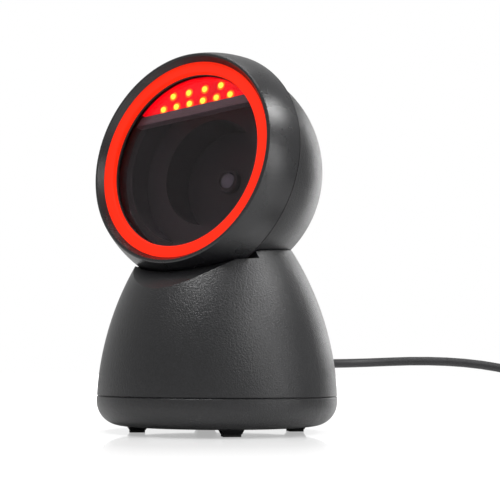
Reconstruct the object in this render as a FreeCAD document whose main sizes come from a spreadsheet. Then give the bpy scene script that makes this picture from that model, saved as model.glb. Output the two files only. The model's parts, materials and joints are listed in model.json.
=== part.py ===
"""Hands-free desktop imager: a ball-shaped scan head tilting in the saddle of a conical base.

Millimetres. +Z is up, the floor is z = 0, the base axis is x = y = 0 and the window faces -Y.
Head pieces are drawn about the ball centre: x to the right, y up the face, z out of the window.
Clamp pieces are drawn about the ball centre too, with z pointing down the clamp post.
"""
import math
import os

import FreeCAD, Part
import Sketcher

V = FreeCAD.Vector


class D:
    """Driving sizes in millimetres and degrees."""

    base_radius = 47.3        # widest radius of the base
    base_arc = 115.0          # side profile of the base is one arc of this radius
    base_arc_height = 10.0    # height of that arc's centre
    seam_height = 14.0        # joint between base shell and bottom cover
    under_height = 2.7        # flat underside of the bottom cover
    cover_edge = 9.5          # rounding of the bottom cover's lower edge
    wall = 2.2                # moulded wall thickness
    seam_chamfer = 0.4        # small bevel on both sides of the base seam
    arch_radius = 66.9        # the base's top is an arch about a line along X
    arch_centre_y = 7.0
    arch_centre_z = 4.9
    ball_y = -5.5             # ball centre, ahead of the base axis
    ball_z = 102.8
    ball_radius = 44.5        # rear shell
    rest_tilt = 7.2           # window looks up by this much at rest
    tilt_up = 25.0            # travel above rest
    tilt_down = 5.0           # travel below rest
    seat_gap = 0.4            # ball to socket
    liner_gap = 0.3           # ball to friction liner, and ball to clamp shoe
    front_radius = 47.6       # front shell
    relief_gap = 0.7          # front shell to its relief in the socket
    seam_ahead = 8.7          # head seam, ahead of the ball centre
    rim_ahead = 22.5          # front rim, ahead of the ball centre
    front_wall = 2.4          # front shell wall
    mouth_radius = 40.85      # inner edge of the front rim
    ring_outer = 39.35        # coloured ring
    ring_inner = 34.9
    ring_front = 20.0         # ring's front face, ahead of the ball centre
    ring_back = 17.6
    window_radius = 36.5
    window_back = 15.0
    window_thick = 1.5
    chamber_mouth = 35.0      # bore that holds the light board
    chamber_ledge = 10.9      # ledge that the light board lies on
    chamber_bore = 32.0
    chamber_floor = 1.0
    well_radius = 22.0        # round well in front of the camera
    well_back = -14.0
    post_lean = 10.0          # clamp post leans back from the vertical
    post_radius = 3.5
    post_bore = 2.0
    post_start = 35.5         # distances down the post, from the ball centre
    post_end = 68.0
    flange_radius = 6.5
    shoe_radius = 9.0
    shoe_flat = 37.5
    liner_radius = 17.0
    liner_depth = 2.3
    boss_end = 54.0
    washer_thick = 1.2
    disc_height = 1.3
    nut_height = 4.6
    slot_width = 9.2          # slot in the ball that the post passes through
    slot_spare = 7.0          # degrees of slot beyond the travel, each end
    foot_ring = 31.5          # feet stand on this radius
    pad_height = 0.9
    leg_width = 7.0
    leg_depth = 6.0
    screw_ring = 33.0
    screw_angle = 20.0        # base screws stand this far off the front-to-rear line
    ballast_radius = 28.0
    ballast_thick = 5.0
    board_thick = 1.6
    pillar_height = 8.1
    led_pitch_low = 6.6
    led_pitch_high = 8.0
    led_row_low = 25.2
    led_row_high = 30.3
    cable_radius = 2.0
    cable_height = 27.0       # cable axis where it leaves the base
    coil_outer = 31.0         # the coil's widest turn, measured at the cable's axis
    coil_inner = 17.0         # its narrowest turn
    coil_entry = 20.0         # where the cable meets the coil, in degrees from +X
    tie_thick = 0.9
    tie_width = 5.0


# Corner points of the cable between the base and the coil, then between the coil and the plug.
CABLE_RUN = [
    V(0, 27, D.cable_height), V(0, 86, D.cable_height), V(50, 119, 30), V(88, 134, 22),
    V(124, 130, 9), V(148, 112, D.cable_radius), V(156, 90, D.cable_radius),
]
ENTRY = math.radians(D.coil_entry)
COIL_CENTRE = CABLE_RUN[-1] - V(math.cos(ENTRY), math.sin(ENTRY), 0) * D.coil_outer - V(0, 0, D.cable_radius)
TAIL_START = COIL_CENTRE + V(D.coil_outer, 0, 3 * D.cable_radius)
CABLE_TAIL = [TAIL_START, TAIL_START + V(0, -24, -2), TAIL_START + V(-9, -46, -2)]

doc = FreeCAD.newDocument("imager")
sheet = doc.addObject("Spreadsheet::Sheet", "dims")
aliases = []
nodes = []


def record(alias, value):
    """Write one size into the sheet and return the expression that reads it."""
    aliases.append(alias)
    row = len(aliases)
    sheet.set("A%d" % row, alias)
    sheet.set("B%d" % row, "%.6f" % value)
    sheet.setAlias("B%d" % row, alias)
    return "dims." + alias


def solid(kind, name, place, **props):
    """Part primitive whose sizes are read from the sheet."""
    item = doc.addObject("Part::" + kind, name)
    for prop, value in props.items():
        item.setExpression(prop, record(name + "_" + prop.lower(), value))
    item.Placement = place
    return item


def box(name, x, y, z, frame=FreeCAD.Placement()):
    """Box between two limits on each axis of the frame."""
    place = frame * FreeCAD.Placement(V(x[0], y[0], z[0]), FreeCAD.Rotation())
    return solid("Box", name, place, Length=x[1] - x[0], Width=y[1] - y[0], Height=z[1] - z[0])


def rod(name, radius, start, end, frame=FreeCAD.Placement()):
    """Cylinder between two points of the frame."""
    along = end - start
    place = frame * FreeCAD.Placement(start, FreeCAD.Rotation(V(0, 0, 1), along))
    return solid("Cylinder", name, place, Radius=radius, Height=along.Length)


def ball(name, radius, frame):
    return solid("Sphere", name, frame, Radius=radius)


def joined(name, items):
    item = doc.addObject("Part::MultiFuse", name)
    item.Shapes = items
    return item


def shared(name, items):
    item = doc.addObject("Part::MultiCommon", name)
    item.Shapes = items
    return item


def minus(name, base, tools):
    item = doc.addObject("Part::Cut", name)
    item.Base = base
    item.Tool = tools[0] if len(tools) == 1 else joined(name + "_tools", tools)
    return item


def group(name, items):
    """Separate identical solids kept in one node."""
    item = doc.addObject("Part::Compound", name)
    item.Links = items
    return item


def node(label, item):
    item.Label = label
    nodes.append((label, item))


def turned(name, profile, frame=FreeCAD.Placement()):
    """Body turned about the frame's z from a closed profile of (radius, height).

    A third number makes the side to the next point an arc of that radius. The profile runs
    anticlockwise, and a negative radius makes the arc turn clockwise.
    """
    low = min(0.0, min(point[1] for point in profile))
    corners = [V(point[0], point[1] - low, 0) for point in profile]
    count = len(corners)
    body = doc.addObject("PartDesign::Body", name)
    sketch = body.newObject("Sketcher::SketchObject", name + "_profile")
    plane = [item for item in body.Origin.OriginFeatures if item.Role == "XZ_Plane"][0]
    sketch.AttachmentSupport = (plane, [""])
    sketch.MapMode = "FlatFace"
    ends = []
    for index, point in enumerate(profile):
        first = corners[index]
        second = corners[(index + 1) % count]
        if len(point) == 2:
            sketch.addGeometry(Part.LineSegment(first, second), False)
            ends.append((1, 2))
            continue
        bend = point[2]
        side = second - first
        left = V(-side.y, side.x, 0).normalize()
        rise = math.sqrt(bend ** 2 - side.Length ** 2 / 4) * math.copysign(1, bend)
        centre = (first + second) * 0.5 + left * rise
        start, stop = (first, second) if bend > 0 else (second, first)
        from_angle = math.atan2(start.y - centre.y, start.x - centre.x)
        to_angle = math.atan2(stop.y - centre.y, stop.x - centre.x)
        if to_angle < from_angle:
            to_angle += 2 * math.pi
        circle = Part.Circle(centre, V(0, 0, 1), abs(bend))
        sketch.addGeometry(Part.ArcOfCircle(circle, from_angle, to_angle), False)
        ends.append((1, 2) if bend > 0 else (2, 1))
    for index, corner in enumerate(corners):
        pos = ends[index][0]
        before = (index - 1) % count
        sketch.addConstraint(Sketcher.Constraint("Coincident", before, ends[before][1], index, pos))
        for kind, value, axis, tag in (("DistanceX", corner.x, -2, "r"), ("DistanceY", corner.y, -1, "z")):
            if abs(value) < 1e-9:
                sketch.addConstraint(Sketcher.Constraint("PointOnObject", index, pos, axis))
                continue
            number = sketch.addConstraint(Sketcher.Constraint(kind, -1, 1, index, pos, value))
            alias = record("%s_%s_%d" % (name, tag, index), value)
            sketch.setExpression("Constraints[%d]" % number, alias)
        if len(profile[index]) == 3:
            bend = abs(profile[index][2])
            number = sketch.addConstraint(Sketcher.Constraint("Radius", index, bend))
            alias = record("%s_arc_%d" % (name, index), bend)
            sketch.setExpression("Constraints[%d]" % number, alias)
    turn = body.newObject("PartDesign::Revolution", name + "_turn")
    turn.Profile = sketch
    turn.ReferenceAxis = (sketch, ["V_Axis"])
    turn.Angle = 360.0
    body.Tip = turn
    body.Placement = frame * FreeCAD.Placement(V(0, 0, low), FreeCAD.Rotation())
    return body


def around(radius, angle, height=0.0):
    """Point on a circle about z, with the angle in degrees from +X."""
    turn = math.radians(angle)
    return V(radius * math.cos(turn), radius * math.sin(turn), height)


def screw(name, point, up, head, shank):
    """Screw with its head's seat at the point. head and shank are (radius, length)."""
    cap = rod(name + "_head", head[0], point, point - up * head[1])
    stem = rod(name + "_stem", shank[0], point, point + up * shank[1])
    return joined(name, [cap, stem])


def base_side(height, inset=0.0):
    """Radius of the base's side at a height, moved inwards by the inset."""
    radius = D.base_arc - inset
    centre = D.base_radius - D.base_arc
    return centre + math.sqrt(radius ** 2 - (height - D.base_arc_height) ** 2)


def cable_path(points):
    """Straight runs joined by tangent arcs, as a wire, with the arc radii."""
    edges = []
    radii = []
    start = points[0]
    for before, corner, after in zip(points, points[1:], points[2:]):
        back = before - corner
        ahead = after - corner
        half_turn = (math.pi - back.getAngle(ahead)) / 2
        reach = 0.45 * min(back.Length, ahead.Length)
        radius = reach / math.tan(half_turn)
        back.normalize()
        ahead.normalize()
        inward = (back + ahead).normalize()
        middle = corner + inward * (radius / math.cos(half_turn) - radius)
        edges.append(Part.LineSegment(start, corner + back * reach).toShape())
        edges.append(Part.Arc(corner + back * reach, middle, corner + ahead * reach).toShape())
        start = corner + ahead * reach
        radii.append(radius)
    edges.append(Part.LineSegment(start, points[-1]).toShape())
    return Part.Wire(edges), radii


def cable(name, points):
    """Round cable along the points. No primitive follows a bent path, so its shape is set here."""
    wire, radii = cable_path(points)
    circle = Part.Circle(points[0], points[1] - points[0], D.cable_radius).toShape()
    tube = wire.makePipeShell([Part.Wire(circle)], True, False)
    item = doc.addObject("Part::Feature", name)
    item.Shape = tube
    section = math.pi * D.cable_radius ** 2
    print(name, "length %.1f" % wire.Length, "arc radii", ["%.0f" % radius for radius in radii],
          "volume ratio %.4f" % (tube.Volume / (section * wire.Length)))
    return item


for alias, value in vars(D).items():
    if isinstance(value, float):
        record(alias, value)

centre = V(0, D.ball_y, D.ball_z)
AT_BALL = FreeCAD.Placement(centre, FreeCAD.Rotation())
HEAD = FreeCAD.Placement(centre, FreeCAD.Rotation(V(1, 0, 0), 90 - D.rest_tilt))
LOWEST = FreeCAD.Placement(centre, FreeCAD.Rotation(V(1, 0, 0), 90 - D.rest_tilt + D.tilt_down))
lean = math.radians(D.post_lean)
down_post = V(0, math.sin(lean), -math.cos(lean))
CLAMP = FreeCAD.Placement(centre, FreeCAD.Rotation(V(0, 0, 1), down_post))
UP = V(0, 0, 1)

# Heights that stack from the underside of the base.
cover_top = D.under_height + D.wall
ballast_top = cover_top + D.ballast_thick
board_low = ballast_top + D.pillar_height
board_top = board_low + D.board_thick

# ---------------------------------------------------------------- base shell
seat_radius = D.ball_radius + D.seat_gap
relief_radius = D.front_radius + D.relief_gap
liner_outer = seat_radius + D.liner_depth
shell_top = 80.0
shell_low = D.seam_height + D.seam_chamfer
outer_form = turned("base_outer", [
    (0, D.seam_height), (base_side(D.seam_height) - D.seam_chamfer, D.seam_height),
    (base_side(shell_low), shell_low, D.base_arc), (base_side(shell_top), shell_top), (0, shell_top)])
cavity_top = shell_top - 5
inner_form = turned("base_inner", [
    (0, D.seam_height - 1), (base_side(D.seam_height, D.wall), D.seam_height - 1),
    (base_side(D.seam_height, D.wall), D.seam_height, D.base_arc - D.wall),
    (base_side(cavity_top, D.wall), cavity_top), (0, cavity_top)])
arch_line = (V(-60, D.arch_centre_y, D.arch_centre_z), V(60, D.arch_centre_y, D.arch_centre_z))
arch_outer = rod("arch_outer", D.arch_radius, *arch_line)
arch_inner = rod("arch_inner", D.arch_radius - D.wall, *arch_line)
cavity = minus("base_cavity", shared("base_cavity_form", [inner_form, arch_inner]),
               [ball("cup_back", relief_radius + D.wall, AT_BALL)])
relief = shared("front_relief", [
    ball("relief_ball", relief_radius, LOWEST),
    box("relief_half", (-60, 60), (-60, 60), (D.seam_ahead - 0.8, 60), LOWEST)])
liner_recess = shared("liner_recess", [
    ball("recess_ball", liner_outer, AT_BALL),
    rod("recess_rod", D.liner_radius, V(0, 0, 20), V(0, 0, 60), CLAMP)])
cable_hole = rod("cable_hole", 4.4, V(0, 36, D.cable_height), V(0, 52, D.cable_height))
screw_spots = [around(D.screw_ring, 90 + sign + half, cover_top + 2.1)
               for half in (0, 180) for sign in (D.screw_angle, -D.screw_angle)]
bosses = []
pilots = []
for index, spot in enumerate(screw_spots):
    bosses.append(rod("boss_%d_post" % index, 4.0, spot, V(spot.x, spot.y, 56)))
    pilots.append(rod("pilot_%d_hole" % index, 1.5, spot, spot + UP * 12))
post_boss = rod("post_boss", D.shoe_radius, V(0, 0, liner_outer + 1), V(0, 0, D.boss_end), CLAMP)
hollow_base = minus("base_hollow", shared("base_form", [outer_form, arch_outer]), [cavity])
base_solid = joined("base_with_bosses", [hollow_base, post_boss] + bosses)
post_hole = rod("post_hole", D.post_radius + 0.1, V(0, 0, 40), V(0, 0, 58), CLAMP)
base_shell = minus("base_shell", base_solid, [
    ball("seat_ball", seat_radius, AT_BALL), relief, liner_recess, cable_hole, post_hole] + pilots)
node("base_shell", base_shell)

# ---------------------------------------------------------------- bottom cover, feet, ballast
edge_centre = D.base_radius - D.cover_edge
edge_height = D.under_height + D.cover_edge
cover_dish = turned("cover_dish", [
    (0, D.under_height), (edge_centre, D.under_height, D.cover_edge), (D.base_radius, edge_height),
    (D.base_radius, D.seam_height - D.seam_chamfer),
    (D.base_radius - D.seam_chamfer, D.seam_height), (D.base_radius - D.wall, D.seam_height),
    (D.base_radius - D.wall, edge_height, D.wall - D.cover_edge), (edge_centre, cover_top), (0, cover_top)])
legs = []
pads = []
for index in range(4):
    spin = FreeCAD.Placement(V(0, 0, 0), FreeCAD.Rotation(UP, 45 + 90 * index))
    stand = spin * FreeCAD.Placement(V(0, -D.foot_ring, D.pad_height), FreeCAD.Rotation(V(1, 0, 0), 90))
    half_x = D.leg_width / 2
    half_z = D.leg_depth / 2
    legs.append(solid(
        "Wedge", "leg_%d_form" % index, stand, Xmin=-half_x, Xmax=half_x, Zmin=-half_z, Zmax=half_z,
        X2min=-half_x - 1.1, X2max=half_x + 1.1, Z2min=-half_z - 1.3, Z2max=half_z + 1.3,
        Ymin=0, Ymax=D.under_height - D.pad_height + 0.6))
    pads.append(box(
        "pad_%d_form" % index, (-half_x + 0.2, half_x - 0.2),
        (-D.foot_ring - half_z + 0.2, -D.foot_ring + half_z - 0.2), (0, D.pad_height), spin))
lands = []
sinks = []
base_screws = []
for index, spot in enumerate(screw_spots):
    seat = V(spot.x, spot.y, cover_top + 0.1)
    lands.append(rod("land_%d_form" % index, 4.5, V(spot.x, spot.y, D.under_height + 0.5), spot))
    sinks.append(rod("sink_%d_hole" % index, 2.9, V(spot.x, spot.y, 0), seat))
    sinks.append(rod("through_%d_hole" % index, 1.6, seat, spot))
    base_screws.append(screw("base_screw_%d_item" % index, seat, UP, (2.7, 1.9), (1.45, 12)))
node("bottom_cover", minus("bottom_cover", joined("cover_form", [cover_dish] + legs + lands), sinks))
node("foot_pads", group("foot_pads", pads))
node("base_screws", group("base_screws", base_screws))
pillar_spots = [V(x, y, ballast_top) for x in (-13, 13) for y in (-12, 20)]
node("ballast_plate", turned("ballast_plate", [
    (6, cover_top), (D.ballast_radius, cover_top), (D.ballast_radius, ballast_top), (6, ballast_top)]))

# ---------------------------------------------------------------- interface board in the base
pillars = []
board_holes = []
board_screws = []
for index, spot in enumerate(pillar_spots):
    top = V(spot.x, spot.y, board_low)
    pillars.append(minus("pillar_%d_item" % index, rod("pillar_%d_form" % index, 2.2, spot, top),
                         [rod("pillar_%d_hole" % index, 1.05, spot + UP, top + UP)]))
    board_holes.append(rod("board_%d_hole" % index, 1.1, top - UP, top + UP * 3))
    board_screws.append(screw("board_screw_%d_item" % index, V(spot.x, spot.y, board_top), UP * -1,
                              (2.1, 1.3), (1.0, 7.5)))
node("board_pillars", group("board_pillars", pillars))
node("interface_board", minus("interface_board", box(
    "interface_board_form", (-17, 17), (-16, 26), (board_low, board_top)), board_holes))
node("board_screws", group("board_screws", board_screws))
node("harness_socket", box("harness_socket", (-5, 5), (4, 12.6), (board_top, board_top + 5.9)))
node("cable_jack", box("cable_jack", (-7, 7), (14, 27), (board_top, board_top + 11.4)))

# ---------------------------------------------------------------- clamp that holds the ball
liner_form = shared("liner_form", [
    ball("liner_ball", liner_outer, AT_BALL),
    rod("liner_rod", D.liner_radius, V(0, 0, 20), V(0, 0, 60), CLAMP)])
node("friction_liner", minus("friction_liner", liner_form, [
    ball("liner_inside", D.ball_radius + D.liner_gap, AT_BALL),
    rod("liner_hole", D.flange_radius, V(0, 0, 20), V(0, 0, 60), CLAMP)]))
ball_inside = D.ball_radius - D.wall
shoe_form = shared("shoe_form", [
    ball("shoe_ball", ball_inside - D.liner_gap, AT_BALL),
    rod("shoe_rod", D.shoe_radius, V(0, 0, D.shoe_flat), V(0, 0, 50), CLAMP)])
node("clamp_shoe", minus("clamp_shoe", shoe_form, [
    rod("shoe_hole", D.post_radius + 0.05, V(0, 0, 30), V(0, 0, 50), CLAMP)]))
node("clamp_post", turned("clamp_post", [
    (D.post_bore, D.post_start), (D.flange_radius, D.post_start), (D.flange_radius, D.shoe_flat),
    (D.post_radius, D.shoe_flat), (D.post_radius, D.post_end), (D.post_bore, D.post_end)], CLAMP))
washer_end = D.boss_end + D.washer_thick
node("clamp_washer", turned("clamp_washer", [
    (D.post_radius + 0.1, D.boss_end), (7.5, D.boss_end), (7.5, washer_end),
    (D.post_radius + 0.1, washer_end)], CLAMP))
discs = []
for index in range(4):
    low = washer_end + index * D.disc_height
    inner_low, outer_low = (low + 0.5, low) if index % 2 else (low, low + 0.5)
    discs.append(turned("disc_%d_item" % index, [
        (D.post_radius + 0.2, inner_low), (7.0, outer_low), (7.0, outer_low + 0.8),
        (D.post_radius + 0.2, inner_low + 0.8)], CLAMP))
node("disc_springs", group("disc_springs", discs))
nut_start = washer_end + 4 * D.disc_height
nut_form = solid("Prism", "nut_form", CLAMP * FreeCAD.Placement(V(0, 0, nut_start), FreeCAD.Rotation()),
                 Circumradius=7.0, Height=D.nut_height)
node("clamp_nut", minus("clamp_nut", nut_form, [
    rod("nut_hole", D.post_radius + 0.05, V(0, 0, 50), V(0, 0, 80), CLAMP)]))
node("neck_harness", rod("neck_harness", 1.8, V(0, 0, D.post_start + 0.5), V(0, 0, 79.5), CLAMP))

# ---------------------------------------------------------------- head shells
slot_from = math.radians(D.post_lean - D.tilt_down - D.slot_spare)
slot_x = V(0, math.sin(slot_from), -math.cos(slot_from))
slot_y = V(0, math.cos(slot_from), math.sin(slot_from))
slot_turn = FreeCAD.Rotation(slot_x, slot_y, V(1, 0, 0), "ZXY")
slot = solid("Cylinder", "ball_slot", FreeCAD.Placement(centre - V(D.slot_width / 2, 0, 0), slot_turn),
             Radius=60, Height=D.slot_width, Angle=D.tilt_up + D.tilt_down + 2 * D.slot_spare)
sound_slots = [box("sound_%d_slot" % index, (-6, 6), (6 + 3 * index, 7.2 + 3 * index), (-50, -30), HEAD)
               for index in range(3)]
rear_form = minus("rear_form", ball("rear_ball", D.ball_radius, HEAD), [
    ball("rear_inside", ball_inside, HEAD),
    box("rear_front", (-60, 60), (-60, 60), (D.seam_ahead, 60), HEAD)])
node("head_rear_shell", minus("head_rear_shell", rear_form, [slot] + sound_slots))


def shell_side(radius, ahead):
    """Radius of a ball's cross-section this far ahead of its centre."""
    return math.sqrt(radius ** 2 - ahead ** 2)


front_inside = D.front_radius - D.front_wall
lip = D.seam_ahead + D.wall
ear_front = D.chamber_ledge + 2.3
ear_back = D.chamber_ledge - 2.0
front_form = turned("front_form", [
    (41.4, D.seam_ahead), (shell_side(D.front_radius, D.seam_ahead) - 0.3, D.seam_ahead),
    (shell_side(D.front_radius, D.seam_ahead + 0.3), D.seam_ahead + 0.3, D.front_radius),
    (shell_side(D.front_radius, D.rim_ahead - 0.3), D.rim_ahead - 0.3),
    (shell_side(D.front_radius, D.rim_ahead) - 0.3, D.rim_ahead), (D.mouth_radius, D.rim_ahead),
    (D.ring_outer + 0.1, D.ring_front), (D.ring_outer + 0.1, D.ring_back),
    (D.window_radius + 0.1, D.ring_back), (D.window_radius + 0.1, ear_front),
    (shell_side(front_inside, ear_front), ear_front, -front_inside),
    (shell_side(front_inside, lip), lip), (41.4, lip)], HEAD)
ear_spots = [around(39.0, angle, ear_back) for angle in (90, 210, 330)]
OUT = V(0, 0, 1)
front_pilots = [rod("front_%d_pilot" % index, 1.05, spot, V(spot.x, spot.y, 17.0), HEAD)
                for index, spot in enumerate(ear_spots)]
node("head_front_shell", minus("head_front_shell", front_form, front_pilots))

# ---------------------------------------------------------------- window and ring
window_front = D.window_back + D.window_thick
node("scan_window", turned("scan_window", [
    (0, D.window_back), (D.window_radius, D.window_back), (D.window_radius, window_front),
    (0, window_front)], HEAD))
node("window_gasket", turned("window_gasket", [
    (D.ring_inner, window_front), (D.window_radius, window_front), (D.window_radius, D.ring_back),
    (D.ring_inner, D.ring_back)], HEAD))
node("light_ring", turned("light_ring", [
    (D.ring_inner, D.ring_back), (D.ring_outer, D.ring_back), (D.ring_outer, D.ring_front),
    (D.ring_inner + 0.4, D.ring_front), (D.ring_inner, D.ring_front - 0.4)], HEAD))

# ---------------------------------------------------------------- optics chamber and lights
chamber_back = D.well_back - 2.0
chamber_form = turned("chamber_form", [
    (5.05, chamber_back), (D.well_radius + 2, chamber_back), (D.well_radius + 2, -1), (34, -1),
    (34, ear_back), (41, ear_back), (41, ear_front), (D.window_radius - 0.1, ear_front),
    (D.window_radius - 0.1, D.window_back), (D.chamber_mouth, D.window_back),
    (D.chamber_mouth, D.chamber_ledge), (D.chamber_bore, D.chamber_ledge),
    (D.chamber_bore, D.chamber_floor), (D.well_radius, D.chamber_floor),
    (D.well_radius, D.well_back), (5.05, D.well_back)], HEAD)
ear_holes = [rod("ear_%d_hole" % index, 1.15, spot - OUT, V(spot.x, spot.y, ear_front + 0.5), HEAD)
             for index, spot in enumerate(ear_spots)]
node("optics_chamber", minus("optics_chamber", chamber_form, ear_holes))
facing = HEAD.Rotation.multVec(OUT)
node("chassis_screws", group("chassis_screws", [
    screw("chassis_screw_%d_item" % index, HEAD.multVec(spot), facing, (2.0, 1.3), (1.0, 7.5))
    for index, spot in enumerate(ear_spots)]))

board_front = D.chamber_ledge + 1.2
fit_radius = D.chamber_mouth - 0.1
node("led_board", shared("led_board", [
    rod("led_board_disc", fit_radius, OUT * D.chamber_ledge, OUT * board_front, HEAD),
    box("led_board_part", (-40, 40), (23, 40), (5, 20), HEAD)]))
shelf_front = D.chamber_ledge + 3.6
node("light_shelf", shared("light_shelf", [
    rod("shelf_disc", fit_radius, OUT * D.chamber_ledge, OUT * shelf_front, HEAD),
    box("shelf_part", (-40, 40), (19, 22.6), (5, 20), HEAD)]))
for label, count, pitch, row in (("led_row_lower", 6, D.led_pitch_low, D.led_row_low),
                                 ("led_row_upper", 4, D.led_pitch_high, D.led_row_high)):
    chips = []
    for index in range(count):
        middle = (index - (count - 1) / 2) * pitch
        chips.append(box("%s_%d_chip" % (label, index), (middle - 1.4, middle + 1.4),
                         (row - 1.2, row + 1.2), (board_front, board_front + 1.2), HEAD))
    node(label, group(label, chips))

# ---------------------------------------------------------------- camera and decoder
camera_back = chamber_back - 8.0
node("camera_housing", minus("camera_housing", box(
    "camera_form", (-8, 8), (-8, 8), (camera_back, chamber_back), HEAD),
    [rod("camera_bore", 5.05, OUT * (camera_back - 1), OUT * (chamber_back + 1), HEAD)]))
node("lens_barrel", turned("lens_barrel", [
    (3.7, -20), (5.0, -20), (5.0, -11.4), (4.6, -11), (3.7, -11)], HEAD))
node("lens_glass", turned("lens_glass", [(0, -13), (3.7, -13), (3.7, -12), (3.1, -11.4), (0, -11.4)], HEAD))
sensor_low = camera_back - D.board_thick
node("image_sensor", box("image_sensor", (-3, 3), (-3, 3), (camera_back, camera_back + 1.2), HEAD))
node("sensor_board", box("sensor_board", (-9, 9), (-9, 9), (sensor_low, camera_back), HEAD))
decoder_front = chamber_back - 13.0
decoder_back = decoder_front - D.board_thick
head_pillars = []
decoder_holes = []
decoder_screws = []
for index, (x, y) in enumerate(((-13, -8), (13, -8), (-13, 12), (13, 12))):
    form = rod("stud_%d_form" % index, 2.0, V(x, y, decoder_front), V(x, y, chamber_back), HEAD)
    hole = rod("stud_%d_hole" % index, 1.05, V(x, y, decoder_front - 1), V(x, y, chamber_back - 3), HEAD)
    head_pillars.append(minus("stud_%d_item" % index, form, [hole]))
    decoder_holes.append(rod("decoder_%d_hole" % index, 1.1, V(x, y, decoder_back - 1),
                             V(x, y, decoder_front + 1), HEAD))
    decoder_screws.append(screw("decoder_screw_%d_item" % index, HEAD.multVec(V(x, y, decoder_back)),
                                facing, (2.0, 1.3), (1.0, 7.0)))
node("chassis_pillars", group("chassis_pillars", head_pillars))
node("decoder_board", minus("decoder_board", box(
    "decoder_form", (-20, 20), (-12, 16), (decoder_back, decoder_front), HEAD), decoder_holes))
node("decoder_screws", group("decoder_screws", decoder_screws))
node("buzzer", turned("buzzer", [
    (0, decoder_back - 5.4), (5.6, decoder_back - 5.4), (6, decoder_back - 5), (6, decoder_back),
    (0, decoder_back)], HEAD * FreeCAD.Placement(V(-4, 3, 0), FreeCAD.Rotation())))
node("head_connector", box("head_connector", (-4, 4), (-12, -8), (decoder_front, decoder_front + 3), HEAD))
node("head_harness", rod("head_harness", 1.5, V(0, -11, -27.7), V(0, -27.5, -17), HEAD))

# ---------------------------------------------------------------- cable
ALONG_Y = FreeCAD.Placement(V(0, 0, D.cable_height), FreeCAD.Rotation(V(0, 0, 1), V(0, 1, 0)))
node("strain_relief", turned("strain_relief", [
    (D.cable_radius, 40.5), (4.4, 40.5), (4.4, 47.2), (5.4, 47.2), (5.4, 49.2), (4.2, 49.8),
    (2.9, 59), (D.cable_radius, 59)], ALONG_Y))
node("usb_cable", cable("usb_cable", CABLE_RUN))
AT_COIL = FreeCAD.Placement(COIL_CENTRE, FreeCAD.Rotation())


def coil_ring(name, spare):
    """Ring of two layers of turns with rounded edges, made larger all round by the spare."""
    edge = D.cable_radius + spare
    inner = D.coil_inner
    outer = D.coil_outer
    high = 3 * D.cable_radius
    low = D.cable_radius
    return turned(name, [
        (inner, low - edge), (outer, low - edge, edge), (outer + edge, low), (outer + edge, high, edge),
        (outer, high + edge), (inner, high + edge, edge), (inner - edge, high), (inner - edge, low, edge)],
        AT_COIL)


node("usb_cable_coil", coil_ring("usb_cable_coil", 0))
half_tie = D.tie_width / 2
tie_form = shared("tie_form", [
    coil_ring("tie_ring", D.tie_thick),
    box("tie_part", (-60, 0), (-half_tie, half_tie), (0, 20), AT_COIL)])
node("cable_tie", minus("cable_tie", tie_form, [coil_ring("tie_inside", 0)]))
node("usb_cable_tail", cable("usb_cable_tail", CABLE_TAIL))
tail_way = (CABLE_TAIL[-1] - CABLE_TAIL[-2]).normalize()
PLUG = FreeCAD.Placement(CABLE_TAIL[-1], FreeCAD.Rotation(V(1, 0, 0), tail_way))
plug_form = box("plug_form", (0, 24), (-8, 8), (-4, 4), PLUG)
plug_body = doc.addObject("Part::Fillet", "usb_plug_body")
plug_body.Base = plug_form
plug_body.Edges = [(number, 1.2, 1.2) for number in range(1, 13)]
node("usb_plug_body", plug_body)
shell_form = box("plug_shell_form", (24, 36), (-6, 6), (-2.25, 2.25), PLUG)
node("usb_plug_shell", minus("usb_plug_shell", shell_form, [
    box("plug_shell_hollow", (26, 40), (-5.7, 5.7), (-0.4, 1.95), PLUG)]))

doc.recompute()

os.makedirs("parts", exist_ok=True)
faults = []
for label, item in nodes:
    if "Invalid" in item.State or "Error" in item.State or item.Shape.isNull() or not item.Shape.isValid():
        faults.append(label)
for item in doc.Objects:
    if "Invalid" in item.State or "Error" in item.State:
        faults.append(item.Name)
if faults:
    raise SystemExit("not built: " + ", ".join(faults))
for label, item in nodes:
    item.Shape.exportStep("parts/%s.step" % label)
    print("%-18s solids %d volume %9.1f" % (label, len(item.Shape.Solids), item.Shape.Volume))
print(len(nodes), "nodes")
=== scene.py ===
"""Looks of the desktop imager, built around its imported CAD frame. Metres, front towards -Y."""
import json
import math

import bmesh
import bpy
from mathutils import Matrix, Vector


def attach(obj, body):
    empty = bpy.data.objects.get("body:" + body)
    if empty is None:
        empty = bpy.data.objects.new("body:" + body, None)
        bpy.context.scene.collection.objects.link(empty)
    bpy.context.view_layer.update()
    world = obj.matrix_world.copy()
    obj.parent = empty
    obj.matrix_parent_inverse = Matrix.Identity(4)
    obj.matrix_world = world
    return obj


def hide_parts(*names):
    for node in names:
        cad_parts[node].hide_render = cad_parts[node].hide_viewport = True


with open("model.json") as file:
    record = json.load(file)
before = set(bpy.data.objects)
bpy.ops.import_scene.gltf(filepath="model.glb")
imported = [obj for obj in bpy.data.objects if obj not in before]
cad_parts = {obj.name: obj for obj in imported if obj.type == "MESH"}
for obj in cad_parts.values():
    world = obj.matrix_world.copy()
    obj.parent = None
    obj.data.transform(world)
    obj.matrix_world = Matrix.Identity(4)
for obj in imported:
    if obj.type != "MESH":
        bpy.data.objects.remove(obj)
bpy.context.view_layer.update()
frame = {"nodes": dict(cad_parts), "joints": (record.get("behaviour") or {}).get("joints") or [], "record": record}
scene = bpy.context.scene
MM = 0.001
BASE = "base"
HEAD = "head"
HINGE = Vector(frame["joints"][0]["pos_m"])
REST_TILT = math.radians(7.2)
HEAD_FRAME = Matrix.Translation(HINGE) @ Matrix.Rotation(math.pi / 2 - REST_TILT, 4, "X")


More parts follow.
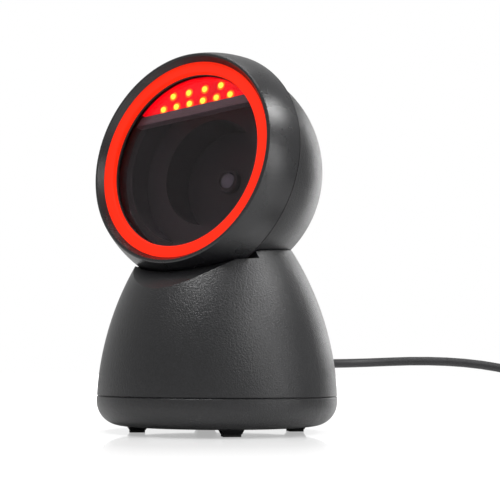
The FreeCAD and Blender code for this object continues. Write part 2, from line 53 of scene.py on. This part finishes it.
# ---------------------------------------------------------------- camera
VIEW_AZIMUTH = math.radians(35.8)
VIEW_DISTANCE = 400 * MM
VIEW_HEIGHT = 23.1 * MM
VIEW_YAW = math.radians(1.8)
VIEW_PITCH = math.radians(7.0)
VIEW_ROLL = math.radians(0.3)
LENS = 71.95


def view_axes():
    """The camera's place, and its right, up and forward directions."""
    place = Vector((math.sin(VIEW_AZIMUTH) * VIEW_DISTANCE, -math.cos(VIEW_AZIMUTH) * VIEW_DISTANCE,
                    VIEW_HEIGHT))
    ahead = Vector((-math.sin(VIEW_AZIMUTH), math.cos(VIEW_AZIMUTH), 0))
    up = Vector((0, 0, 1))
    right = ahead.cross(up)
    ahead = ahead * math.cos(VIEW_YAW) + right * math.sin(VIEW_YAW)
    right = ahead.cross(up)
    ahead = ahead * math.cos(VIEW_PITCH) + up * math.sin(VIEW_PITCH)
    up = right.cross(ahead)
    tilted = right * math.cos(VIEW_ROLL) + up * math.sin(VIEW_ROLL)
    up = up * math.cos(VIEW_ROLL) - right * math.sin(VIEW_ROLL)
    return place, tilted, up, ahead


EYE, RIGHT, UP, AHEAD = view_axes()
camera_data = bpy.data.cameras.new("camera")
camera_data.lens = LENS
camera_data.sensor_width = 36
camera_data.clip_start = 0.01
camera = bpy.data.objects.new("camera", camera_data)
turn = Matrix((RIGHT, UP, -AHEAD)).transposed().to_4x4()
camera.matrix_world = Matrix.Translation(EYE) @ turn
scene.collection.objects.link(camera)
scene.camera = camera


# ---------------------------------------------------------------- cable
CABLE_RADIUS = 2.0
CABLE_RUN = [
    (0, 27, 27), (0, 86, 27), (50, 119, 30), (88, 134, 22), (124, 130, 9), (148, 112, 2), (156, 90, 2)]
COIL_OUTER = 31.0
COIL_INNER = 17.0
COIL_ENTRY = math.radians(20)
COIL_CENTRE = (156 - COIL_OUTER * math.cos(COIL_ENTRY), 90 - COIL_OUTER * math.sin(COIL_ENTRY))
TAIL_X = COIL_CENTRE[0] + COIL_OUTER
CABLE_TAIL = [(TAIL_X, COIL_CENTRE[1], 6), (TAIL_X, COIL_CENTRE[1] - 24, 4),
              (TAIL_X - 9, COIL_CENTRE[1] - 46, 4)]
STEPS = 18
CLIMB = 0.5
TURNS = 7 + COIL_ENTRY / (2 * math.pi)


def coil_points():
    """Two layers of turns: spiralling in on the floor, then out again on top of them."""
    points = []
    one_layer = (TURNS - CLIMB) / 2
    narrowing = (COIL_OUTER - COIL_INNER) / one_layer
    stretch = 1 / math.cos(math.pi / STEPS) ** 0.5
    for index in range(1, round(TURNS * STEPS)):
        done = index / STEPS
        radius = COIL_INNER
        height = CABLE_RADIUS * (1 + 2 * (done - one_layer) / CLIMB)
        if done <= one_layer:
            radius = COIL_OUTER - narrowing * done
            height = CABLE_RADIUS
        elif done >= one_layer + CLIMB:
            radius = COIL_INNER + narrowing * (done - one_layer - CLIMB)
            height = 3 * CABLE_RADIUS
        angle = COIL_ENTRY - 2 * math.pi * done
        points.append((COIL_CENTRE[0] + radius * stretch * math.cos(angle),
                       COIL_CENTRE[1] + radius * stretch * math.sin(angle), height))
    return points


def make_cable():
    points = CABLE_RUN + coil_points() + CABLE_TAIL
    curve = bpy.data.curves.new("usb_lead", "CURVE")
    curve.dimensions = "3D"
    curve.bevel_depth = CABLE_RADIUS * MM
    curve.bevel_resolution = 6
    curve.resolution_u = 6
    curve.use_fill_caps = True
    spline = curve.splines.new("NURBS")
    spline.points.add(len(points) - 1)
    for point, place in zip(spline.points, points):
        point.co = (place[0] * MM, place[1] * MM, place[2] * MM, 1)
    spline.order_u = 3
    spline.use_endpoint_u = True
    lead = bpy.data.objects.new("usb_lead", curve)
    scene.collection.objects.link(lead)
    bare = curve.copy()
    bare.bevel_depth = 0
    probe = bpy.data.objects.new("probe", bare)
    scene.collection.objects.link(probe)
    bpy.context.view_layer.update()
    mesh = bpy.data.meshes.new_from_object(probe.evaluated_get(bpy.context.evaluated_depsgraph_get()))
    length = sum((mesh.vertices[edge.vertices[0]].co - mesh.vertices[edge.vertices[1]].co).length
                 for edge in mesh.edges)
    bpy.data.objects.remove(probe)
    bpy.data.meshes.remove(mesh)
    bpy.data.curves.remove(bare)
    return lead, length


lead, lead_length = make_cable()
print("lead length", round(lead_length, 4))


# ---------------------------------------------------------------- materials
def material(name):
    made = bpy.data.materials.new(name)
    made.use_nodes = True
    nodes = made.node_tree.nodes
    return made, nodes, made.node_tree.links, nodes["Principled BSDF"]


def texture(nodes, links, kind, scale, **inputs):
    """Noise or Voronoi texture in object space, with its scale in cells per metre."""
    place = nodes.new("ShaderNodeTexCoord")
    made = nodes.new(kind)
    links.new(place.outputs["Object"], made.inputs["Vector"])
    made.inputs["Scale"].default_value = scale
    for key, value in inputs.items():
        made.inputs[key].default_value = value
    return made


def spread(nodes, links, source, low, high, from_low=0.3, from_high=0.7):
    """Map a texture's value onto a range."""
    made = nodes.new("ShaderNodeMapRange")
    links.new(source, made.inputs["Value"])
    made.inputs["From Min"].default_value = from_low
    made.inputs["From Max"].default_value = from_high
    made.inputs["To Min"].default_value = low
    made.inputs["To Max"].default_value = high
    return made.outputs["Result"]


def tinted(nodes, links, value, dark, light):
    """Colour between two colours, by a value."""
    mix = nodes.new("ShaderNodeMix")
    mix.data_type = "RGBA"
    mix.inputs["A"].default_value = (*dark, 1)
    mix.inputs["B"].default_value = (*light, 1)
    links.new(value, mix.inputs["Factor"])
    return mix.outputs["Result"]


def bumped(nodes, links, shader, height, strength, distance):
    bump = nodes.new("ShaderNodeBump")
    bump.inputs["Strength"].default_value = strength
    bump.inputs["Distance"].default_value = distance
    links.new(height, bump.inputs["Height"])
    links.new(bump.outputs["Normal"], shader.inputs["Normal"])


def moulded(name, dark, light, rough=(0.34, 0.46), grain=2600, strength=0.25, metallic=0.0, specular=0.5):
    """Moulded plastic or plated metal: fine grain, faint mottling, uneven gloss."""
    made, nodes, links, shader = material(name)
    fine = texture(nodes, links, "ShaderNodeTexNoise", grain, Detail=3.0, Roughness=0.6)
    broad = texture(nodes, links, "ShaderNodeTexNoise", 38, Detail=4.0)
    links.new(tinted(nodes, links, spread(nodes, links, fine.outputs["Fac"], 0, 1), dark, light),
              shader.inputs["Base Color"])
    links.new(spread(nodes, links, broad.outputs["Fac"], *rough), shader.inputs["Roughness"])
    bumped(nodes, links, shader, fine.outputs["Fac"], strength, 0.0002)
    shader.inputs["Metallic"].default_value = metallic
    shader.inputs["Specular IOR Level"].default_value = specular
    return made


def glowing(name, colour, glow, strength, uneven=(0.7, 1.2), scale=220, rough=0.7):
    """Lit coloured plastic: its own light is uneven, as from lamps behind it or on it; on a part that is no lamp
    this glow is painted light.
    """
    made, nodes, links, shader = material(name)
    patch = texture(nodes, links, "ShaderNodeTexNoise", scale, Detail=2.0)
    level = spread(nodes, links, patch.outputs["Fac"], strength * uneven[0], strength * uneven[1])
    links.new(level, shader.inputs["Emission Strength"])
    grain = texture(nodes, links, "ShaderNodeTexNoise", 1800, Detail=2.0)
    links.new(tinted(nodes, links, grain.outputs["Fac"], [c * 0.85 for c in colour], colour),
              shader.inputs["Base Color"])
    shader.inputs["Emission Color"].default_value = (*glow, 1)
    shader.inputs["Roughness"].default_value = rough
    shader.inputs["Specular IOR Level"].default_value = 0.15
    return made


def glass(name, tint, ior=1.46, rough=0.02):
    made, nodes, links, shader = material(name)
    smear = texture(nodes, links, "ShaderNodeTexNoise", 60, Detail=3.0)
    links.new(spread(nodes, links, smear.outputs["Fac"], rough, rough + 0.03), shader.inputs["Roughness"])
    shader.inputs["Base Color"].default_value = (*tint, 1)
    shader.inputs["Transmission Weight"].default_value = 1.0
    shader.inputs["IOR"].default_value = ior
    return made


def circuit(name):
    """Solder mask with faint tracks."""
    made, nodes, links, shader = material(name)
    cells = texture(nodes, links, "ShaderNodeTexVoronoi", 420)
    cells.distance = "MANHATTAN"
    track = spread(nodes, links, cells.outputs["Distance"], 0, 1, 0.2, 0.45)
    mask = tinted(nodes, links, track, (0.01, 0.10, 0.04), (0.02, 0.20, 0.08))
    links.new(mask, shader.inputs["Base Color"])
    shader.inputs["Roughness"].default_value = 0.3
    bumped(nodes, links, shader, track, 0.2, 0.0001)
    return made


PLASTIC = moulded("shell_plastic", (0.003, 0.003, 0.0035), (0.010, 0.010, 0.0115), rough=(0.28, 0.36),
                  grain=1500, strength=0.9)
LOOKS = {
    "body_plastic": PLASTIC,
    "front_plastic": moulded("front_plastic", (0.003, 0.003, 0.0035), (0.009, 0.009, 0.0105),
                             rough=(0.24, 0.32), grain=1900, strength=0.35),
    "pad_rubber": moulded("pad_rubber", (0.012, 0.012, 0.012), (0.022, 0.022, 0.022), rough=(0.6, 0.8)),
    "screw_steel": moulded("screw_steel", (0.42, 0.42, 0.44), (0.55, 0.55, 0.57), rough=(0.25, 0.4),
                           grain=900, strength=0.1, metallic=1.0),
    "ballast_steel": moulded("ballast_steel", (0.35, 0.35, 0.37), (0.5, 0.5, 0.52), rough=(0.35, 0.55),
                             grain=500, strength=0.15, metallic=1.0),
    "pillar_brass": moulded("pillar_brass", (0.62, 0.45, 0.18), (0.78, 0.6, 0.28), rough=(0.25, 0.4),
                            grain=900, strength=0.1, metallic=1.0),
    "circuit_board": circuit("circuit_board"),
    "socket_plastic": moulded("socket_plastic", (0.02, 0.02, 0.022), (0.05, 0.05, 0.055)),
    "liner_plastic": moulded("liner_plastic", (0.55, 0.54, 0.5), (0.7, 0.69, 0.65), rough=(0.3, 0.5)),
    "post_steel": moulded("post_steel", (0.5, 0.5, 0.52), (0.62, 0.62, 0.64), rough=(0.2, 0.35),
                          grain=700, strength=0.1, metallic=1.0),
    "spring_steel": moulded("spring_steel", (0.3, 0.3, 0.31), (0.42, 0.42, 0.43), rough=(0.25, 0.4),
                            grain=700, strength=0.1, metallic=1.0),
    "window_glass": glass("window_glass", (0.80, 0.72, 0.76), ior=1.2, rough=0.0),
    "ring_red": glowing("ring_red", (0.62, 0.010, 0.003), (1.0, 0.028, 0.004), 0.62,
                        uneven=(0.8, 1.15), scale=30),
    # Black chamber plastic; its faint red tint is painted reflection of the red lamps.
    "chamber_black": moulded("chamber_black", (0.004, 0.003, 0.004), (0.008, 0.005, 0.007), rough=(0.5, 0.7),
                             grain=900, strength=0.1),
    # The lamp board is no lamp: its uneven red glow is painted light, the lamps' light spread over the board.
    "led_board_red": glowing("led_board_red", (0.75, 0.0, 0.012), (1.0, 0.0, 0.008), 0.8,
                             uneven=(0.5, 1.3), scale=130),
    "shelf_plastic": moulded("shelf_plastic", (0.09, 0.055, 0.065), (0.14, 0.09, 0.10), rough=(0.35, 0.5)),
    "led_lens": glowing("led_lens", (1.0, 0.4, 0.04), (1.0, 0.42, 0.03), 3.2, uneven=(0.9, 1.1)),
    "lamp_glow": glowing("lamp_glow", (1.0, 0.10, 0.01), (1.0, 0.13, 0.004), 1.5,
                         uneven=(0.6, 1.3), scale=400),
    "lens_glass": glass("lens_glass", (0.25, 0.22, 0.45), ior=1.6),
    "sensor_chip": moulded("sensor_chip", (0.02, 0.03, 0.06), (0.04, 0.05, 0.1), rough=(0.1, 0.2),
                           strength=0.02),
    "relief_rubber": moulded("relief_rubber", (0.012, 0.012, 0.013), (0.024, 0.024, 0.026),
                             rough=(0.45, 0.6)),
    "cable_jacket": moulded("cable_jacket", (0.010, 0.010, 0.011), (0.022, 0.022, 0.024), rough=(0.38, 0.52),
                            grain=1400, strength=0.15),
    "tie_plastic": moulded("tie_plastic", (0.02, 0.02, 0.02), (0.035, 0.035, 0.035)),
    "plug_plastic": moulded("plug_plastic", (0.015, 0.015, 0.016), (0.03, 0.03, 0.032)),
    "plug_metal": moulded("plug_metal", (0.6, 0.6, 0.62), (0.72, 0.72, 0.74), rough=(0.12, 0.25),
                          grain=600, strength=0.05, metallic=1.0),
}


def dress(piece, slot):
    piece.data.materials.clear()
    piece.data.materials.append(LOOKS[slot])


for row in frame["record"]["subparts"]:
    node = frame["nodes"][row["node"]]
    for socket in node.material_slots:
        socket.material = LOOKS[row["material_slot"]]

dress(lead, "cable_jacket")
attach(lead, BASE)
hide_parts("usb_cable", "usb_cable_coil", "usb_cable_tail")


# ---------------------------------------------------------------- turned pieces
def lathe(name, profile, place, slot, body, replaced, sides=160, smooth_angle=28):
    """Mesh turned about the place's z from (radius, height) points in millimetres, with soft edges."""
    mesh = bmesh.new()
    rings = []
    for radius, height in profile:
        if radius < 1e-6:
            rings.append([mesh.verts.new((0, 0, height * MM))])
            continue
        rings.append([mesh.verts.new((radius * MM * math.cos(2 * math.pi * k / sides),
                                      radius * MM * math.sin(2 * math.pi * k / sides), height * MM))
                      for k in range(sides)])
    pairs = list(zip(rings, rings[1:]))
    if len(rings[0]) > 1 and len(rings[-1]) > 1:
        pairs.append((rings[-1], rings[0]))
    for low, high in pairs:
        for k in range(sides):
            after = (k + 1) % sides
            corners = [low[k % len(low)], low[after % len(low)], high[after % len(high)], high[k % len(high)]]
            unique = list(dict.fromkeys(corners))
            if len(unique) > 2:
                mesh.faces.new(unique)
    bmesh.ops.recalc_face_normals(mesh, faces=mesh.faces[:])
    data = bpy.data.meshes.new(name)
    mesh.to_mesh(data)
    mesh.free()
    data.transform(place)
    data.shade_smooth()
    data.set_sharp_from_angle(angle=math.radians(smooth_angle))
    piece = bpy.data.objects.new(name, data)
    scene.collection.objects.link(piece)
    dress(piece, slot)
    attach(piece, body)
    if replaced:
        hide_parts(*replaced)
    return piece


def relief_profile():
    """Tapered boot with ribs, about the cable's axis."""
    points = [(2.0, 40.5), (4.4, 40.5), (4.4, 47.2), (5.1, 47.2), (5.4, 47.5), (5.4, 48.9), (5.1, 49.2)]
    start = 49.8
    end = 58.6
    ribs = 5
    pitch = (end - start) / ribs
    for index in range(ribs):
        low = start + index * pitch
        for share, dip in ((0.0, 0.0), (0.62, 0.0), (0.7, 0.55), (0.95, 0.55)):
            height = low + share * pitch
            radius = 4.2 - 1.3 * (height - start) / (end - start)
            points.append((radius - dip, height))
    points += [(2.9, 58.7), (2.6, 59.0), (2.0, 59.0)]
    return points


ALONG_Y = Matrix.Translation((0, 0, 0.027)) @ Matrix.Rotation(-math.pi / 2, 4, "X")
relief = lathe("relief_boot", relief_profile(), ALONG_Y, "relief_rubber", BASE, ["strain_relief"], sides=64)


# ---------------------------------------------------------------- lamps behind the window
BOARD_RADIUS = 34.8
BOARD_BACK = 10.9
BOARD_THICK = 1.2
BOARD_LOW = 24.0
SHELF_LOW = 19.6
SHELF_HIGH = 23.4
SHELF_DEPTH = 3.6
WINDOW_BACK = 15.0
BOARD_TURN = math.radians(2.5)
BOARD_FRAME = HEAD_FRAME @ Matrix.Rotation(BOARD_TURN, 4, "Z")
LOWER_LAMPS = (6, 6.6, 25.8)    # how many, how far apart, and their height
UPPER_LAMPS = (4, 7.9, 30.6)


def add_piece(name, mesh, slot, replaced, look=None):
    """Head-mounted object from a bmesh drawn in the lamp board's axes, in metres."""
    bmesh.ops.recalc_face_normals(mesh, faces=mesh.faces[:])
    data = bpy.data.meshes.new(name)
    mesh.to_mesh(data)
    mesh.free()
    data.transform(BOARD_FRAME)
    data.shade_smooth()
    data.set_sharp_from_angle(angle=math.radians(32))
    piece = bpy.data.objects.new(name, data)
    scene.collection.objects.link(piece)
    dress(piece, look or slot)
    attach(piece, HEAD)
    if replaced:
        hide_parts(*replaced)
    return piece


def lit_rim():
    """Band round the lamp board's edge, up to the window, glowing red: painted lamplight along the chamber wall.
    """
    mesh = bmesh.new()
    start = math.asin(BOARD_LOW / BOARD_RADIUS)
    low = BOARD_BACK + BOARD_THICK + 0.1
    high = WINDOW_BACK - 0.1
    outer = BOARD_RADIUS + 0.05
    inner = outer - 0.5
    section = ((outer, low), (outer, high), (inner, high), (inner, low))
    steps = 40
    rows = []
    for index in range(steps + 1):
        angle = start + (math.pi - 2 * start) * index / steps
        around = Vector((math.cos(angle), math.sin(angle), 0))
        rows.append([mesh.verts.new((around * radius + Vector((0, 0, height))) * MM)
                     for radius, height in section])
    for row, after in zip(rows, rows[1:]):
        for k in range(4):
            mesh.faces.new([row[k], row[(k + 1) % 4], after[(k + 1) % 4], after[k]])
    mesh.faces.new(rows[0])
    mesh.faces.new(rows[-1])
    return add_piece("lamp_board_rim", mesh, "led_board_red", [])


def lamp_glow(name, count, pitch, row):
    """Warm patch of light on the board round each lamp."""
    mesh = bmesh.new()
    for index in range(count):
        middle = (index - (count - 1) / 2) * pitch
        at = Matrix.Translation((middle * MM, row * MM, (BOARD_BACK + BOARD_THICK + 0.08) * MM))
        bmesh.ops.create_cone(mesh, cap_ends=True, segments=24, radius1=1.9 * MM, radius2=1.7 * MM,
                              depth=0.12 * MM, matrix=at)
    return add_piece(name, mesh, "led_board_red", [], look="lamp_glow")


def chord_plate(name, low, high, back, front, slot, replaced):
    """Plate that fills the round mouth between two heights."""
    mesh = bmesh.new()
    outline = []
    steps = 24
    top = math.asin(min(1.0, high / BOARD_RADIUS))
    bottom = math.asin(low / BOARD_RADIUS)
    for index in range(steps + 1):
        angle = bottom + (top - bottom) * index / steps
        outline.append((BOARD_RADIUS * math.cos(angle), BOARD_RADIUS * math.sin(angle)))
    outline += [(-x, y) for x, y in reversed(outline)]
    face = mesh.faces.new([mesh.verts.new((x * MM, y * MM, back * MM)) for x, y in outline])
    grown = bmesh.ops.extrude_face_region(mesh, geom=[face])
    moved = [item for item in grown["geom"] if isinstance(item, bmesh.types.BMVert)]
    bmesh.ops.translate(mesh, verts=moved, vec=(0, 0, (front - back) * MM))
    bmesh.ops.remove_doubles(mesh, verts=mesh.verts[:], dist=1e-6)
    edges = [edge for edge in mesh.edges if len(edge.link_faces) == 2 and edge.calc_face_angle() > 1.0]
    bmesh.ops.bevel(mesh, geom=edges, offset=0.2 * MM, segments=2, affect="EDGES")
    return add_piece(name, mesh, slot, replaced)


def lamp_row(name, count, pitch, row, replaced):
    """Row of small domed lamps on round feet."""
    mesh = bmesh.new()
    foot = BOARD_BACK + BOARD_THICK
    for index in range(count):
        middle = (index - (count - 1) / 2) * pitch
        at = Matrix.Translation((middle * MM, row * MM, (foot + 0.2) * MM))
        bmesh.ops.create_cone(mesh, cap_ends=True, segments=24, radius1=1.25 * MM, radius2=1.15 * MM,
                              depth=0.4 * MM, matrix=at)
        dome = Matrix.Translation((middle * MM, row * MM, (foot + 0.35) * MM))
        made = bmesh.ops.create_uvsphere(mesh, u_segments=20, v_segments=12, radius=1.05 * MM,
                                         matrix=dome @ Matrix.Diagonal((1, 1, 0.8, 1)))
        low = [vert for vert in made["verts"] if vert.co.z < (foot + 0.3) * MM]
        bmesh.ops.delete(mesh, geom=low, context="VERTS")
    return add_piece(name, mesh, "led_lens", replaced)


chord_plate("lamp_board", BOARD_LOW, BOARD_RADIUS, BOARD_BACK, BOARD_BACK + BOARD_THICK,
            "led_board_red", ["led_board"])
chord_plate("lamp_shelf", SHELF_LOW, SHELF_HIGH, BOARD_BACK, BOARD_BACK + SHELF_DEPTH,
            "shelf_plastic", ["light_shelf"])
lamp_row("lamps_lower", *LOWER_LAMPS, ["led_row_lower"])
lamp_row("lamps_upper", *UPPER_LAMPS, ["led_row_upper"])
lamp_glow("glow_lower", *LOWER_LAMPS)
lamp_glow("glow_upper", *UPPER_LAMPS)
lit_rim()
# Thin black ring at the shell seam: painted shade, the dark line where the groove between the shells falls in
# shadow.
lathe("seam_shade_ring", [(43.0, 8.25), (46.7, 8.25), (46.75, 8.66), (43.0, 8.66)], HEAD_FRAME,
      "chamber_black", HEAD, [])


# ---------------------------------------------------------------- floor and light
def make_floor():
    data = bpy.data.meshes.new("floor")
    reach = 6.0
    data.from_pydata([(-reach, -reach, 0), (reach, -reach, 0), (reach, reach, 0), (-reach, reach, 0)], [],
                     [(0, 1, 2, 3)])
    floor = bpy.data.objects.new("floor", data)
    scene.collection.objects.link(floor)
    made, nodes, links, shader = material("floor")
    shader.inputs["Base Color"].default_value = (0.86, 0.86, 0.86, 1)
    shader.inputs["Roughness"].default_value = 0.04
    shader.inputs["Specular IOR Level"].default_value = 0.5
    path = nodes.new("ShaderNodeLightPath")
    place = nodes.new("ShaderNodeTexCoord")
    far = nodes.new("ShaderNodeVectorMath")
    far.operation = "LENGTH"
    links.new(place.outputs["Object"], far.inputs[0])
    white = nodes.new("ShaderNodeMapRange")
    white.inputs["From Min"].default_value = 0.08
    white.inputs["From Max"].default_value = 0.35
    white.inputs["To Min"].default_value = 0.40
    white.inputs["To Max"].default_value = 1.0
    links.new(far.outputs["Value"], white.inputs["Value"])
    glow = nodes.new("ShaderNodeMath")
    glow.operation = "MULTIPLY"
    links.new(path.outputs["Is Camera Ray"], glow.inputs[0])
    links.new(white.outputs["Result"], glow.inputs[1])
    links.new(glow.outputs["Value"], shader.inputs["Emission Strength"])
    shader.inputs["Emission Color"].default_value = (1, 1, 1, 1)
    data.materials.append(made)


def make_world():
    world = bpy.data.worlds.new("studio")
    scene.world = world
    world.use_nodes = True
    nodes = world.node_tree.nodes
    links = world.node_tree.links
    back = nodes["Background"]
    back.inputs["Color"].default_value = (1, 1, 1, 1)
    path = nodes.new("ShaderNodeLightPath")
    seen = nodes.new("ShaderNodeMath")
    seen.operation = "MAXIMUM"
    links.new(path.outputs["Is Camera Ray"], seen.inputs[0])
    links.new(path.outputs["Is Transmission Ray"], seen.inputs[1])
    level = nodes.new("ShaderNodeMapRange")
    level.inputs["To Min"].default_value = 0.6
    level.inputs["To Max"].default_value = 1.0
    links.new(seen.outputs["Value"], level.inputs["Value"])
    links.new(level.outputs["Result"], back.inputs["Strength"])


def area_light(name, away, size, energy):
    """Soft lamp aimed at the head, placed by its direction right, up and ahead of the view."""
    data = bpy.data.lights.new(name, "AREA")
    data.shape = "RECTANGLE"
    data.size, data.size_y = size
    data.energy = energy
    lamp = bpy.data.objects.new(name, data)
    level_ahead = Vector((AHEAD.x, AHEAD.y, 0)).normalized()
    target = Vector((0, 0, 0.085))
    lamp.location = target + RIGHT * away[0] + Vector((0, 0, away[1])) + level_ahead * away[2]
    lamp.rotation_euler = (target - lamp.location).to_track_quat("-Z", "Y").to_euler()
    scene.collection.objects.link(lamp)


make_floor()
make_world()
area_light("saddle_left", (-0.22, 0.62, -0.30), (0.14, 0.14), 2.2)
area_light("saddle_right", (0.54, 0.56, -0.14), (0.14, 0.14), 2.2)
area_light("front", (0.34, 0.30, -0.45), (0.16, 0.16), 0.7)
area_light("head_side", (0.56, 0.10, -0.34), (0.10, 0.30), 0.7)
area_light("rim", (0.34, 0.12, 0.50), (0.12, 0.40), 0.6)
area_light("top", (0.0, 0.80, 0.10), (0.4, 0.4), 2.0)

scene.view_settings.view_transform = "Standard"
